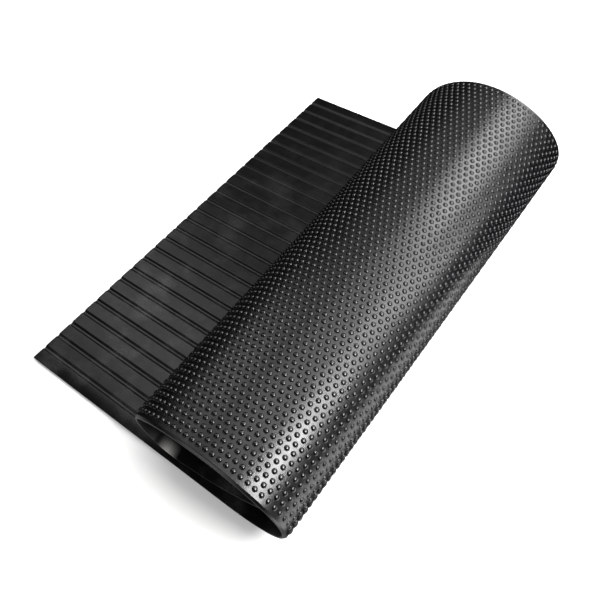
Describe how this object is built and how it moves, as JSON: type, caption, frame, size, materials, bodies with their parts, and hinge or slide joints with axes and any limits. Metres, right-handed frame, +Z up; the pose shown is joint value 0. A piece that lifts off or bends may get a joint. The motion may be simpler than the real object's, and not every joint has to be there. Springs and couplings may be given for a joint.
{
  "type": "rubber stall mat",
  "caption": "Moulded rubber sheet with a studded face and a grooved face, lying flat with one end rolled back over itself.",
  "frame": {"origin": "centre of the mat's footprint on the floor, at the tips of the studs that it lies on", "axes": "+X along the mat from its flat end to the roll, +Y across its width, along the roll's axis, +Z up"},
  "size_m": [0.8092, 1.2438, 0.2777],
  "materials": {
    "rubber": "satin moulded black rubber, dusty on the lands"
  },
  "bodies": {
    "root": {"stall_mat": "rubber"}
  },
  "joints": []
}
